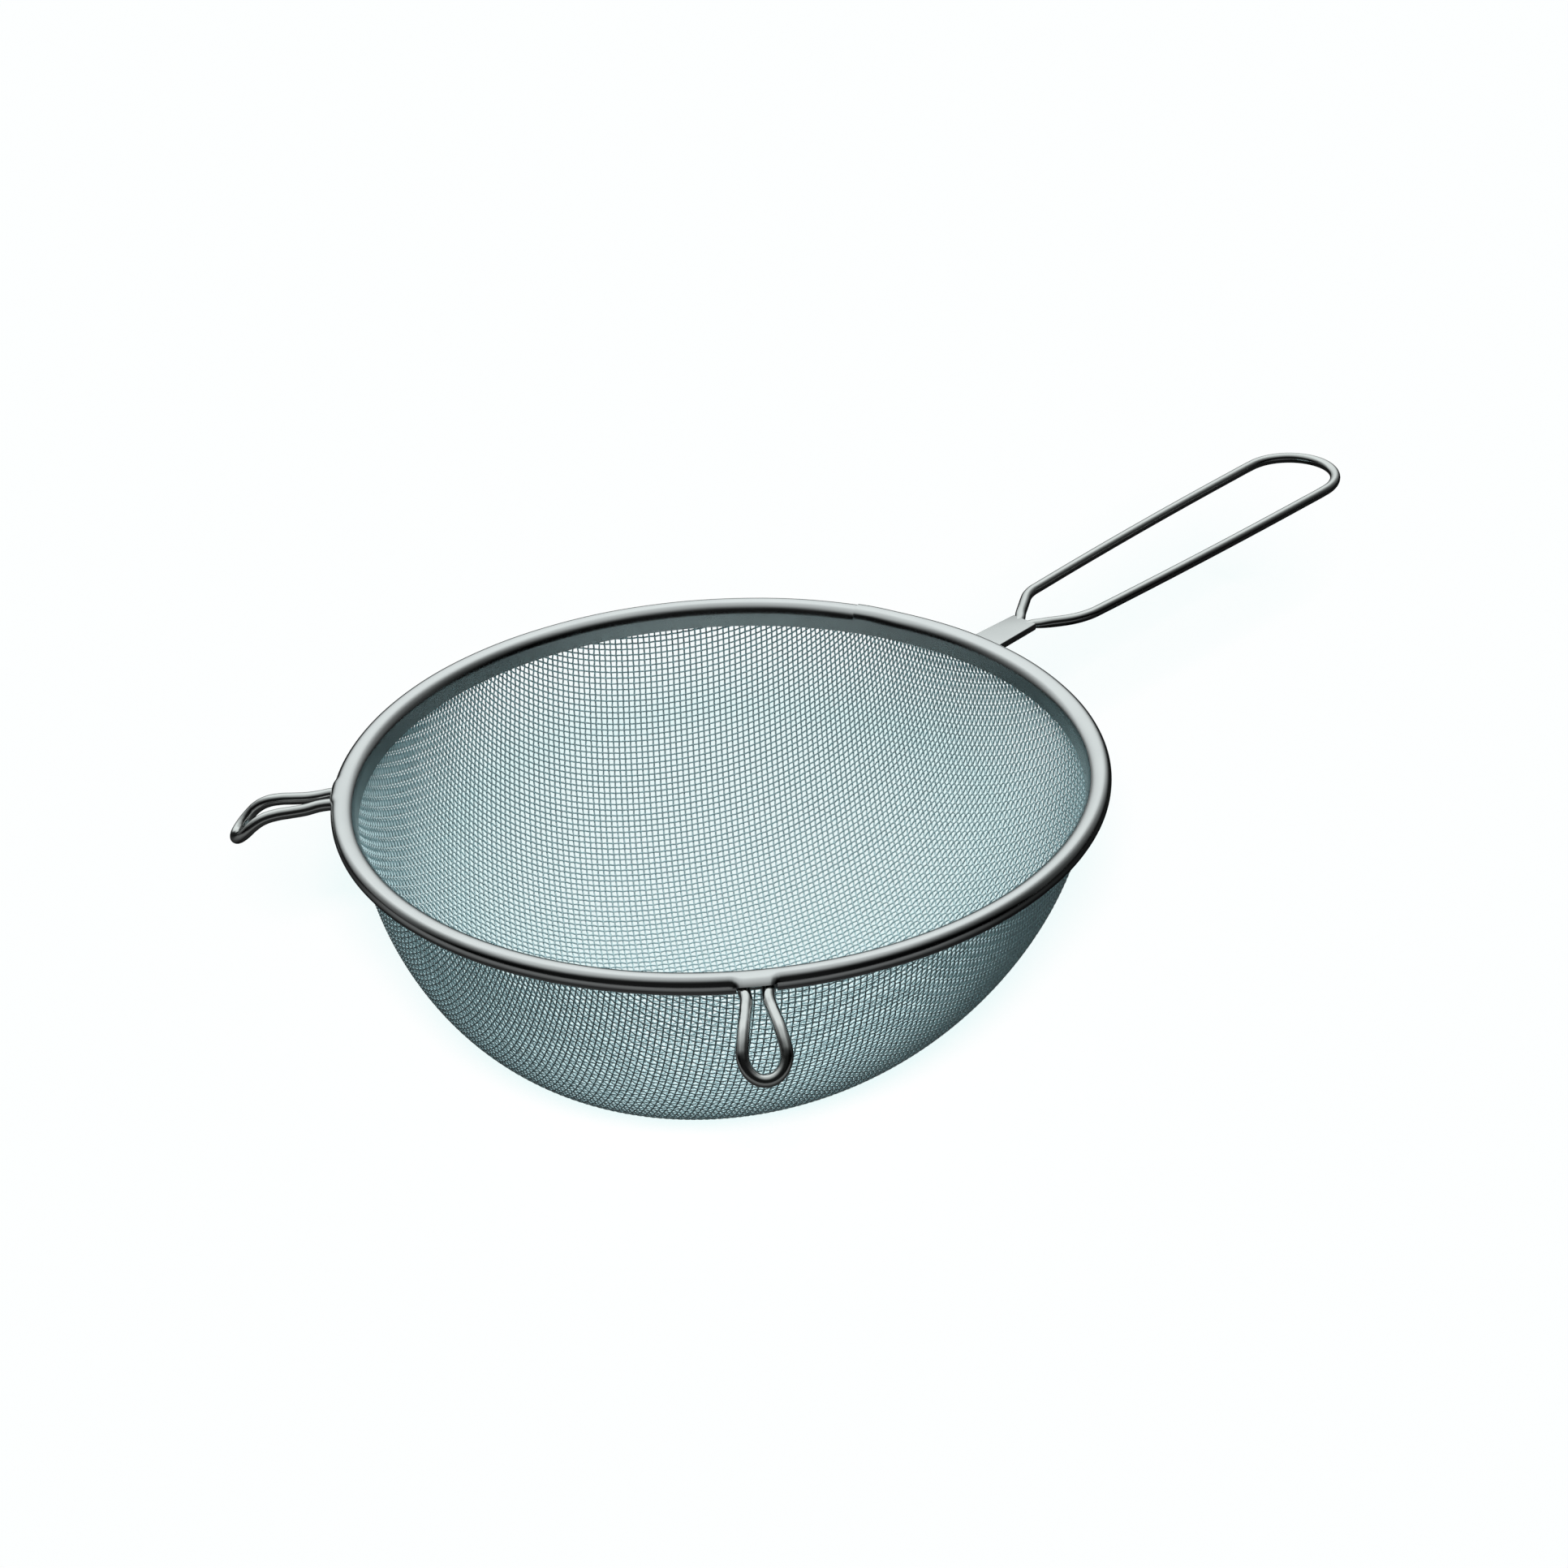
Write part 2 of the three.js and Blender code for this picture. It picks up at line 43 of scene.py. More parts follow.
# Rim: a strip with an inner leg, a wide inner curve, a roll, a fold and an outer leg.
RIM_DIAMETER = 240.0
BEAD_DIAMETER = 6.3
SHEET = 0.5
CORE_CLEARANCE = 0.35
LEG_LEAN = math.radians(23.0)
LEG_DROP = 5.3
OUTER_LEG_RISE = 2.2
FOLD_RADIUS = 0.8
INNER_RADIUS = 4.4
INNER_LEAN = math.radians(8.0)
INNER_DROP = 4.65
RIM_STEPS = 720

# Points along the strip: shares of the inner leg, then counts for the inner curve and the roll.
LEG_SHARES = (1, 0.66, 0.33)
CURVE_POINTS = 15
ROLL_POINTS = 32
CURVE_FIRST = len(LEG_SHARES)
ROLL_FIRST = CURVE_FIRST + CURVE_POINTS
ROLL_LAST = ROLL_FIRST + ROLL_POINTS - 1

# Seam of the strip, in degrees round the rim, and the share by which the lapped end stands out.
SEAM_ANGLE = 23.3
SEAM_NEAR = 0.5
SEAM_HALF_GAP = 0.05
LAP_START = 1.0
LAP_RUN = 7.0
LAP_SWELL = 0.1
# Unevenness of the roll: share, waves round the rim and phase. It fades over some points at both ends.
ROLL_WAVES = ((0.010, 5, 0.4), (0.007, 11, 1.9), (0.004, 23, 0.0))
ROLL_FADE = 8

# Wire cloth.
CLOTH_WIRE = 0.5
DRAWN_WIRE = 0.54
CLOTH_PITCH = 1.95
CLOTH_CLEARANCE = 0.35
CLOTH_GRIP = 3.0
CLOTH_RUN = 1.5
CLOTH_BUNDLES = 3
CLOTH_SIDES = 6
WEAVE_TURN = math.radians(-33.0)

# Bowl that the cloth is pressed to.
BOWL_DEPTH = 89.7
BASE_RADIUS = 13.7
WALL_POWER = 0.894
DEPTH_POWER = 1.241
BASE_OFFSET = 12.3
OFFSET_POWER = 1.37
BASE_FLAT = 0.2
LIP_SPREAD = 0.9
LIP_DEPTH = 16.0

# Handle: a plate and a wire loop.
TANG_ROOT_WIDTH = 11.5
TANG_END_WIDTH = 10.0
TANG_THICKNESS = 2.4
TANG_REACH = 19.6
TANG_EDGE = 0.4
TANG_TOP = 0.65
NOTCH_HALF = 6.9
NOTCH_TOP_CLEARANCE = 0.3
WIRE_SIDES = 24
HANDLE_WIRE = 3.6
HANDLE_LENGTH = 177.9
HANDLE_WIDTH = 35.7
NECK_WIDTH = 30.4
HANDLE_RISE = math.radians(1.4)
# Each side of the loop: spread from the plate, bend at the neck, bend at the end, and added width.
FAR_SIDE = (math.radians(33.0), 15.0, 17.0, 0.8)
NEAR_SIDE = (math.radians(36.0), 24.0, 17.0, 0.0)
# Wire ends in the plate: places past the plate's end and how far they lie inwards.
WELD_PATH = ((-5.0, 1.2), (-2.0, 0.9), (0.5, 0.0))
# The wire is flattened into the plate, to a little less than its thickness.
FLATTEN_START = 6.0
FLATTEN_RUN = 9.0
FLATTEN_SKIN = 0.08

# Rest hooks.
HOOK_WIRE = 3.75
HOOK_ROOT_SPACING = 6.8
HOOK_WAIST_SPACING = 6.3
HOOK_WAIST = 4.0
HOOK_WIDTH = 16.0
HOOK_END_REACH = 7.6
HOOK_BEND_RADIUS = 14.0
HOOK_SLOPE = math.radians(4.0)
HOOK_TOP = -0.2
HOOK_LIFT_START = 1.0
HOOK_LIFT_RUN = 8.0
HOOK_ANGLES = {"left": 136.4, "front": -128.9}
# Length, straight run and bend in degrees.
HOOK_SHAPES = {"left": (36.4, 17.0, 40.0), "front": (32.8, 13.0, 50.0)}

# Tabs of the strip over the hook roots: control points out and up from the bead's middle.
TAB_CURVES = {
    "left": ((0.0, 2.9), (1.9, 2.9), (3.0, 2.0), (3.35, 0.8)),
    "front": ((0.0, 2.9), (2.0, 2.9), (3.4, 2.3), (4.6, 1.2)),
}
TAB_BLENDS = {"left": 4.0, "front": 2.2}
TAB_HALF = 4.9
TAB_ROUND = 0.8
# Angles round the bead, in degrees up from its outermost point, where a tab ends, and a margin below.
TAB_EDGE = 12.0
TAB_MARGIN = 4.0

bead_radius = BEAD_DIAMETER / 2
ring_radius = RIM_DIAMETER / 2 - bead_radius
strip_radius = bead_radius - SHEET / 2
core_radius = bead_radius - SHEET - CORE_CLEARANCE
cloth = 2 * CLOTH_WIRE
rim_middle = np.array([BASE_OFFSET, 0.0, BOWL_DEPTH - BASE_FLAT])
root_radius = ring_radius + core_radius


# Modelling helpers.
def deselect():
    """Leave edit mode, with nothing selected."""
    if bpy.context.mode != "OBJECT":
        bpy.ops.object.mode_set(mode="OBJECT")
    bpy.ops.object.select_all(action="DESELECT")


def take(piece):
    """Select one piece alone and make it active."""
    deselect()
    piece.select_set(True)
    bpy.context.view_layer.objects.active = piece


def vertices_of(piece):
    """Places of a piece's vertices, one row each."""
    flat = np.empty(len(piece.data.vertices) * 3)
    piece.data.vertices.foreach_get("co", flat)
    return flat.reshape(-1, 3)


def move_vertices(piece, places):
    """Put a piece's vertices at new places."""
    piece.data.vertices.foreach_set("co", np.ascontiguousarray(places).ravel())
    piece.data.update()


def delete_vertices(piece, unwanted):
    """Delete the vertices that are marked, from the active piece."""
    bpy.ops.object.mode_set(mode="EDIT")
    bpy.ops.mesh.select_mode(type="VERT")
    bpy.ops.mesh.select_all(action="DESELECT")
    bpy.ops.object.mode_set(mode="OBJECT")
    piece.data.vertices.foreach_set("select", unwanted)
    bpy.ops.object.mode_set(mode="EDIT")
    bpy.ops.mesh.delete(type="VERT")
    bpy.ops.object.mode_set(mode="OBJECT")


def apply_modifiers(piece):
    """Apply all modifiers of a piece, in order."""
    take(piece)
    for modifier in list(piece.modifiers):
        bpy.ops.object.modifier_apply(modifier=modifier.name)


def smooth_step(x):
    """Ease from 0 to 1."""
    x = np.clip(x, 0, 1)
    return x * x * (3 - 2 * x)


def round_wire(name, lines, diameter, sides, kind="POLY", resolution=8):
    """Round wire along one or more lines of points in millimetres, as one mesh."""
    deselect()
    bpy.ops.curve.primitive_nurbs_path_add()
    piece = bpy.context.object
    piece.name = name
    curve = piece.data
    curve.splines.clear()
    curve.dimensions = "3D"
    curve.resolution_u = resolution
    curve.bevel_depth = diameter / 2 * MM
    curve.bevel_resolution = (sides - 4) // 2
    curve.use_fill_caps = True
    for line in lines:
        places = np.asarray(line) * MM
        spline = curve.splines.new(kind)
        spline.use_smooth = True
        if kind == "BEZIER":
            spline.bezier_points.add(len(places) - 1)
            spline.bezier_points.foreach_set("co", places.ravel())
            for knot in spline.bezier_points:
                knot.handle_left_type = knot.handle_right_type = "AUTO"
        else:
            spline.points.add(len(places) - 1)
            spline.points.foreach_set("co", np.c_[places, np.ones(len(places))].ravel())
    bpy.ops.object.convert(target="MESH")
    bpy.ops.object.shade_smooth_by_angle(angle=math.radians(70))
    return bpy.context.object


# Wire cloth: a net of equal pitches laid over the bowl from the middle of its base.
def leg_point(down, out):
    """Place in the rim's section, down along the inner leg and out from it."""
    start = bead_radius * np.array([-math.cos(LEG_LEAN), math.sin(LEG_LEAN)])
    along = down * np.array([-math.sin(LEG_LEAN), -math.cos(LEG_LEAN)])
    across = out * np.array([math.cos(LEG_LEAN), -math.sin(LEG_LEAN)])
    return start + along + across


leg_length = (LEG_DROP + bead_radius * math.sin(LEG_LEAN)) / math.cos(LEG_LEAN)
grip_gap = SHEET + 2 * CLOTH_CLEARANCE + cloth


def bowl_meridian():
    """Length, radius, height and sideways shift along the cloth, from its middle to past the hem."""
    edge = leg_point(leg_length + CLOTH_RUN, SHEET + CLOTH_CLEARANCE + cloth / 2)
    top_height = BOWL_DEPTH + edge[1]
    top_radius = ring_radius + edge[0]
    angle = np.linspace(math.pi / 2, 0, 1201)
    sunk = np.sin(angle) ** DEPTH_POWER
    radius = BASE_RADIUS + (top_radius - BASE_RADIUS) * np.cos(angle).clip(0) ** WALL_POWER
    height = top_height - (top_height - cloth / 2) * sunk
    radius = radius + LIP_SPREAD * (1 - (top_height - height) / LIP_DEPTH).clip(0) ** 2
    shift = BASE_OFFSET * (1 - sunk**OFFSET_POWER)
    # A straight run past the edge gives the wires a way on to the hem.
    beyond = 20.0
    radius = np.r_[0, radius, radius[-1] + beyond * math.sin(INNER_LEAN)]
    height = np.r_[cloth / 2, height, top_height + beyond * math.cos(INNER_LEAN)] - BASE_FLAT
    shift = np.r_[0, shift, BASE_OFFSET]
    length = np.r_[0, np.cumsum(np.hypot(np.diff(radius), np.diff(height)))]
    return length, radius, height, shift


meridian = bowl_meridian()
hem = meridian[0][-2] + CLOTH_RUN + CLOTH_GRIP


def cloth_place(flat):
    """Places on the cloth's middle surface for flat cloth coordinates."""
    length, radius, height, shift = meridian
    s = np.hypot(flat[..., 0], flat[..., 1])
    angle = np.arctan2(flat[..., 1], flat[..., 0])
    r = np.interp(s, length, radius)
    x = np.interp(s, length, shift) + r * np.cos(angle)
    return np.stack([x, r * np.sin(angle), np.interp(s, length, height)], axis=-1)


def cloth_normal(flat):
    """Directions square to the cloth."""
    step = 0.4
    along = cloth_place(flat + [step, 0]) - cloth_place(flat - [step, 0])
    across = cloth_place(flat + [0, step]) - cloth_place(flat - [0, step])
    normal = np.cross(along, across)
    return normal / np.linalg.norm(normal, axis=-1, keepdims=True)


def crossings(guess, first, second):
    """Flat places one pitch from each of two neighbours."""
    flat = guess.copy()

    def gaps(at):
        """How far the two distances are from one pitch."""
        place = cloth_place(at)
        return (
            np.linalg.norm(place - first, axis=-1) - CLOTH_PITCH,
            np.linalg.norm(place - second, axis=-1) - CLOTH_PITCH,
        )

    step, rounds, limit = 0.002, 7, CLOTH_PITCH / 2
    for _ in range(rounds):
        f, g = gaps(flat)
        fu, gu = gaps(flat + [step, 0])
        fv, gv = gaps(flat + [0, step])
        a, b, c, d = (fu - f) / step, (fv - f) / step, (gu - g) / step, (gv - g) / step
        det = a * d - b * c
        det = np.where(np.abs(det) < 1e-3, np.inf, det)
        flat[:, 0] -= np.clip((f * d - g * b) / det, -limit, limit)
        flat[:, 1] -= np.clip((g * a - f * c) / det, -limit, limit)
    return flat


def drape():
    """Flat places of all crossings, as an array by wire numbers, not a number where there is none."""
    spare, rounds = 4, 6
    count = int(hem / CLOTH_PITCH) + spare
    net = np.full((2 * count + 1, 2 * count + 1, 2), np.nan)
    net[count, count] = 0
    for di, dj, angle in ((1, 0, 0), (0, 1, math.pi / 2), (-1, 0, math.pi), (0, -1, -math.pi / 2)):
        way = np.array([math.cos(angle + WEAVE_TURN), math.sin(angle + WEAVE_TURN)])
        s = 0.0
        for k in range(1, count + 1):
            last = cloth_place(s * way)
            s += CLOTH_PITCH
            for _ in range(rounds):
                s += CLOTH_PITCH - np.linalg.norm(cloth_place(s * way) - last)
            net[count + di * k, count + dj * k] = s * way
    for si in (1, -1):
        for sj in (1, -1):
            for ring in range(2, 2 * count):
                k = np.arange(max(1, ring - count), min(count, ring - 1) + 1)
                i, j = count + si * k, count + sj * (ring - k)
                a, b, c = net[i - si, j], net[i, j - sj], net[i - si, j - sj]
                reach = np.stack([np.hypot(p[:, 0], p[:, 1]) for p in (a, b, c)])
                good = np.isfinite(reach).all(axis=0)
                good[good] = reach[:, good].min(axis=0) < hem
                if not good.any():
                    continue
                guess = a[good] + b[good] - c[good]
                net[i[good], j[good]] = crossings(guess, cloth_place(a[good]), cloth_place(b[good]))
    return net


def cloth_wire(flat, ups):
    """Line of one wire that passes over and under, cut at the hem, or nothing if it misses the bowl."""
    known = np.isfinite(flat[:, 0])
    flat, ups = flat[known], ups[known]
    reach = np.hypot(flat[:, 0], flat[:, 1])
    inside = np.flatnonzero(reach < hem)
    if len(inside) < 2:
        return None
    low, high = inside[0], inside[-1]
    keep = flat[low : high + 1]
    lift = ups[low : high + 1] * DRAWN_WIRE / 2
    at = cloth_place(keep) + cloth_normal(keep) * lift[:, None]
    between = cloth_place((keep[1:] + keep[:-1]) / 2)
    line = np.empty((2 * len(at) - 1, 3))
    line[0::2] = at
    line[1::2] = between
    ends = []
    for here, there in ((low, low - 1), (high, high + 1)):
        if 0 <= there < len(flat) and reach[there] > hem:
            part = (hem - reach[here]) / (reach[there] - reach[here])
            ends.append(cloth_place(flat[here] + part * (flat[there] - flat[here]))[None])
        else:
            ends.append(np.empty((0, 3)))
    return np.concatenate([ends[0], line, ends[1]])


def weave():
    """All wires of the cloth, in bundles of each direction."""
    net = drape()
    size = len(net)
    number = np.arange(size)
    ups = np.where((number[:, None] + number[None, :]) % 2 == 0, 1.0, -1.0)
    warp = [cloth_wire(net[i], ups[i]) for i in range(size)]
    weft = [cloth_wire(net[:, j], -ups[:, j]) for j in range(size)]
    pieces = []
    for word, wires in (("warp", warp), ("weft", weft)):
        wires = [wire for wire in wires if wire is not None]
        total = np.cumsum([len(wire) for wire in wires])
        share = (total - 1) * CLOTH_BUNDLES // total[-1]
        for part in range(CLOTH_BUNDLES):
            bundle = [wire for wire, s in zip(wires, share) if s == part]
            pieces.append(round_wire(f"cloth_{word}_{part + 1}", bundle, DRAWN_WIRE, CLOTH_SIDES))
    return pieces


cloth_pieces = weave()


# Rim: a strip rolled to a bead with two legs, turned round the axis, with tabs over the roots.
def strip_line():
    """Middle line of the strip in the rim's section, from the foot of its inner leg."""
    inner_radius = INNER_RADIUS - SHEET / 2
    inner_middle = np.array([0, strip_radius - inner_radius])
    lean = INNER_LEAN
    leg_top = inner_middle + inner_radius * np.array([-math.cos(lean), math.sin(lean)])
    drop = leg_top[1] + INNER_DROP
    line = [leg_top + t * drop * np.array([-math.tan(lean), -1]) for t in LEG_SHARES]
    for angle in np.linspace(math.pi - lean, math.pi / 2, CURVE_POINTS + 1)[:-1]:
        line.append(inner_middle + inner_radius * np.array([math.cos(angle), math.sin(angle)]))
    fold_middle = strip_radius - grip_gap - FOLD_RADIUS
    last = math.pi - LEG_LEAN - 2 * math.pi + math.acos(fold_middle / (strip_radius + FOLD_RADIUS))
    for angle in np.linspace(math.pi / 2, last, ROLL_POINTS):
        line.append(strip_radius * np.array([math.cos(angle), math.sin(angle)]))
    middle = (strip_radius + FOLD_RADIUS) * np.array([math.cos(last), math.sin(last)])
    fold_from = last + math.pi
    fold_turn = (math.pi - LEG_LEAN - fold_from) % (2 * math.pi)
    for t in (0.2, 0.4, 0.6, 0.8, 1.0):
        angle = fold_from + fold_turn * t
        line.append(middle + FOLD_RADIUS * np.array([math.cos(angle), math.sin(angle)]))
    line.append(leg_point(leg_length - OUTER_LEG_RISE, SHEET / 2 + grip_gap))
    return np.array(line)


def roll_rim():
    """The strip turned round the rim, with its seam, tabs and notches, and given its thickness."""
    line = strip_line()
    deselect()
    bpy.ops.mesh.primitive_circle_add(vertices=len(line), radius=1)
    piece = bpy.context.object
    piece.name = "rim_sheet"
    places = np.zeros((len(line), 3))
    places[:, 0] = ring_radius + line[:, 0]
    places[:, 2] = line[:, 1]
    move_vertices(piece, places)
    closing = [e.index for e in piece.data.edges if set(e.vertices) == {0, len(line) - 1}]
    bpy.ops.object.mode_set(mode="EDIT")
    bpy.ops.mesh.select_all(action="DESELECT")
    bpy.ops.object.mode_set(mode="OBJECT")
    for index in closing:
        piece.data.edges[index].select = True
    bpy.ops.object.mode_set(mode="EDIT")
    bpy.ops.mesh.select_mode(type="EDGE")
    bpy.ops.mesh.delete(type="EDGE_FACE")
    bpy.ops.mesh.select_all(action="SELECT")
    bpy.ops.mesh.spin(steps=RIM_STEPS, angle=2 * math.pi, center=(0, 0, 0), axis=(0, 0, 1))
    bpy.ops.mesh.select_all(action="SELECT")
    bpy.ops.mesh.remove_doubles(threshold=1e-4)
    bpy.ops.mesh.normals_make_consistent(inside=False)
    bpy.ops.object.mode_set(mode="OBJECT")

    at = vertices_of(piece)
    angle = np.degrees(np.arctan2(at[:, 1], at[:, 0]))
    section = np.stack([np.hypot(at[:, 0], at[:, 1]) - ring_radius, at[:, 2]], axis=1)
    along = np.argmin(np.linalg.norm(section[:, None] - line[None], axis=2), axis=1)
    out, up = section[:, 0].copy(), section[:, 1].copy()
    around = np.degrees(np.arctan2(up, out))
    arc = (along >= CURVE_FIRST) & (along <= ROLL_LAST)
    inner_leg = along < CURVE_FIRST

    # Lap at the seam: the end on the handle's side lies over the other and sinks back along the rim.
    from_seam = (SEAM_ANGLE - angle + 180) % 360 - 180
    near = np.abs(from_seam) < SEAM_NEAR
    angle = np.where(near, SEAM_ANGLE - np.where(from_seam > 0, SEAM_HALF_GAP, -SEAM_HALF_GAP), angle)
    from_seam = (SEAM_ANGLE - angle + 180) % 360 - 180
    lap = np.where(from_seam > 0, 1 - smooth_step((from_seam - LAP_START) / LAP_RUN), 0)
    # The roll is not perfectly even.
    turn = np.radians(angle)
    uneven = sum(size * np.sin(waves * turn + phase) for size, waves, phase in ROLL_WAVES)
    hold = smooth_step((along - CURVE_FIRST) / ROLL_FADE) * smooth_step((ROLL_LAST - along) / ROLL_FADE)
    swell = 1 + (LAP_SWELL * lap + uneven) * np.where(arc, hold, 0)
    out, up = out * swell, up * swell

    # Tabs over the hook roots flare outwards; the roll and the outer leg stop at each notch.
    cut = np.zeros(len(at), bool)
    for word, middle in HOOK_ANGLES.items():
        flare = np.array(TAB_CURVES[word])
        side = np.abs((angle - middle + 180) % 360 - 180) * math.radians(ring_radius)
        share = 1 - smooth_step((side - TAB_HALF + TAB_ROUND) / TAB_BLENDS[word])
        t = np.clip((90 - around) / (90 - TAB_EDGE), 0, 1)[:, None]
        curve = (
            (1 - t) ** 3 * flare[0]
            + 3 * (1 - t) ** 2 * t * flare[1]
            + 3 * (1 - t) * t**2 * flare[2]
            + t**3 * flare[3]
        )
        share = np.where(arc & (around <= 90) & (around >= TAB_EDGE - TAB_MARGIN), share, 0)
        out = out + share * (curve[:, 0] - out)
        up = up + share * (curve[:, 1] - up)
        below = ~inner_leg & ~(arc & ((around >= TAB_EDGE) | (along < ROLL_FIRST)))
        cut |= below & (side < TAB_HALF)
    tang_edge = math.degrees(math.asin((TANG_TOP + NOTCH_TOP_CLEARANCE) / strip_radius))
    side = np.abs(angle) * math.radians(ring_radius)
    below = ~inner_leg & ~(arc & ((around >= tang_edge) | (along < ROLL_FIRST)))
    cut |= below & (side < NOTCH_HALF)

    turn = np.radians(angle)
    radius = ring_radius + out
    move_vertices(piece, np.stack([radius * np.cos(turn), radius * np.sin(turn), up], axis=1))
    delete_vertices(piece, cut)
    bpy.ops.object.mode_set(mode="EDIT")
    bpy.ops.mesh.select_all(action="SELECT")
    bpy.ops.transform.resize(value=(MM, MM, MM), center_override=(0, 0, 0))
    bpy.ops.transform.translate(value=rim_middle * MM)
    bpy.ops.object.mode_set(mode="OBJECT")
    thick = piece.modifiers.new("thickness", "SOLIDIFY")
    thick.thickness = SHEET * MM
    thick.offset = 0
    thick.use_even_offset = True
    apply_modifiers(piece)
    bpy.ops.object.shade_smooth_by_angle(angle=math.radians(40))
    return piece


rim_sheet = roll_rim()


# Handle: a plate out of the bead, and a wire loop laid into its end.
handle_start = rim_middle + [root_radius, 0, TANG_TOP - TANG_THICKNESS / 2]
tang_length = RIM_DIAMETER / 2 + TANG_REACH - root_radius
loop_length = HANDLE_LENGTH - TANG_REACH - HANDLE_WIRE / 2


def on_handle(points):
    """From the handle's own axes to the part's, in millimetres."""
    x, y, z = np.asarray(points, float).T
    c, s = math.cos(HANDLE_RISE), math.sin(HANDLE_RISE)
    return np.stack([x * c - z * s, y, x * s + z * c], axis=1) + handle_start


def handle_side(spread, neck_bend, end_bend, wider):
    """One side of the loop from the plate to just before its end, in the handle's own axes."""
    half = HANDLE_WIDTH / 2 - HANDLE_WIRE / 2 + wider
    neck = NECK_WIDTH / 2 - HANDLE_WIRE / 2
    start = TANG_END_WIDTH / 2 - HANDLE_WIRE / (2 * math.cos(spread))
    bend_x = (neck - start) / math.tan(spread)
    reach = neck_bend * math.tan(spread / 2)
    side = [(x, start - inwards) for x, inwards in WELD_PATH]
    for t in (0.3, 0.6, 0.9):
        x = bend_x - reach * math.cos(spread)
        y = neck - reach * math.sin(spread)
        side.append((x * t, start + (y - start) * t))
    for angle in np.linspace(spread, 0, 7):
        side.append(
            (bend_x + reach - neck_bend * math.sin(angle), neck - neck_bend + neck_bend * math.cos(angle))
        )
    end_x = loop_length - end_bend
    for t in np.linspace(0, 1, 9)[1:-1]:
        side.append((bend_x + reach + (end_x - bend_x - reach) * t, neck + (half - neck) * (2 * t - t * t)))
    for angle in np.linspace(0, math.pi / 2, 13)[:-1]:
        side.append((end_x + end_bend * math.sin(angle), half * math.cos(angle)))
    return np.array(side)


def handle_line():
    """Line of the whole loop, from its far end in the plate to the near one."""
    near = handle_side(*NEAR_SIDE) * [1, -1]
    line = np.concatenate([handle_side(*FAR_SIDE), [[loop_length, 0]], near[::-1]])
    return np.c_[line[:, 0] + tang_length, line[:, 1], np.zeros(len(line))]


def make_handle_wire():
    """The wire loop, flattened where it is laid into the plate."""
    piece = round_wire("handle_wire", [handle_line()], HANDLE_WIRE, WIRE_SIDES, "BEZIER", 6)
    at = vertices_of(piece) / MM
    inwards = smooth_step((tang_length + FLATTEN_START - at[:, 0]) / FLATTEN_RUN)
    at[:, 2] *= 1 - inwards * (1 - (TANG_THICKNESS - FLATTEN_SKIN) / HANDLE_WIRE)
    move_vertices(piece, on_handle(at) * MM)
    return piece


def make_tang():
    """The plate, tapered and with its edges broken."""
    deselect()
    bpy.ops.mesh.primitive_cube_add(size=1)
    piece = bpy.context.object
    piece.name = "tang_plate"
    at = vertices_of(piece)
    at[:, 0] = np.where(at[:, 0] > 0, tang_length, 0)
    width = np.where(at[:, 0] > 0, TANG_END_WIDTH, TANG_ROOT_WIDTH)
    at[:, 1] *= width
    at[:, 2] *= TANG_THICKNESS
    move_vertices(piece, at)
    bpy.ops.object.mode_set(mode="EDIT")
    bpy.ops.mesh.select_all(action="SELECT")
    bpy.ops.mesh.bevel(offset=TANG_EDGE, segments=4, affect="EDGES")
    bpy.ops.object.mode_set(mode="OBJECT")
    move_vertices(piece, on_handle(vertices_of(piece)) * MM)
    bpy.ops.object.shade_smooth_by_angle(angle=math.radians(30))
    return piece


handle_wire = make_handle_wire()
tang_plate = make_tang()


# Rest hooks: teardrop loops that bend down.
def hook_line(length, straight, bend, lift):
    """Line of a hook from root to root, bent down after a straight run, its roots lifted to the tab."""
    bend = math.radians(bend)
    start = root_radius - RIM_DIAMETER / 2
    end = (HOOK_WIDTH - HOOK_WIRE) / 2
    root, waist = HOOK_ROOT_SPACING / 2, HOOK_WAIST_SPACING / 2
    centre = length - HOOK_WIRE / 2 - HOOK_END_REACH
    slope = math.asin((end - waist) / (centre - HOOK_WAIST))
    side = [(start, root), ((start + HOOK_WAIST) / 2, (root + waist) / 2), (HOOK_WAIST, waist)]
    for t in (0.2, 0.4, 0.6, 0.8):
        x = centre - HOOK_END_REACH * math.sin(slope)
        side.append((HOOK_WAIST + (x - HOOK_WAIST) * t, waist + (end * math.cos(slope) - waist) * t))
    for angle in np.linspace(-slope, math.pi / 2, 8)[:-1]:
        side.append((centre + HOOK_END_REACH * math.sin(angle), end * math.cos(angle)))
    side = np.array(side)
    flat = np.concatenate([side, [[centre + HOOK_END_REACH, 0]], side[::-1] * [1, -1]])
    run = np.minimum(flat[:, 0], straight)
    turn = np.clip((flat[:, 0] - straight) / HOOK_BEND_RADIUS, 0, bend)
    rest = np.maximum(flat[:, 0] - straight - HOOK_BEND_RADIUS * bend, 0)
    lean = HOOK_SLOPE + turn
    out = (
        run * math.cos(HOOK_SLOPE)
        + HOOK_BEND_RADIUS * (np.sin(lean) - math.sin(HOOK_SLOPE))
        + rest * np.cos(lean)
    )
    down = (
        run * math.sin(HOOK_SLOPE)
        + HOOK_BEND_RADIUS * (math.cos(HOOK_SLOPE) - np.cos(lean))
        + rest * np.sin(lean)
    )
    lift = lift * (1 - smooth_step((flat[:, 0] - HOOK_LIFT_START) / HOOK_LIFT_RUN))
    return np.c_[RIM_DIAMETER / 2 + out, flat[:, 1], HOOK_TOP - HOOK_WIRE / 2 - down + lift]


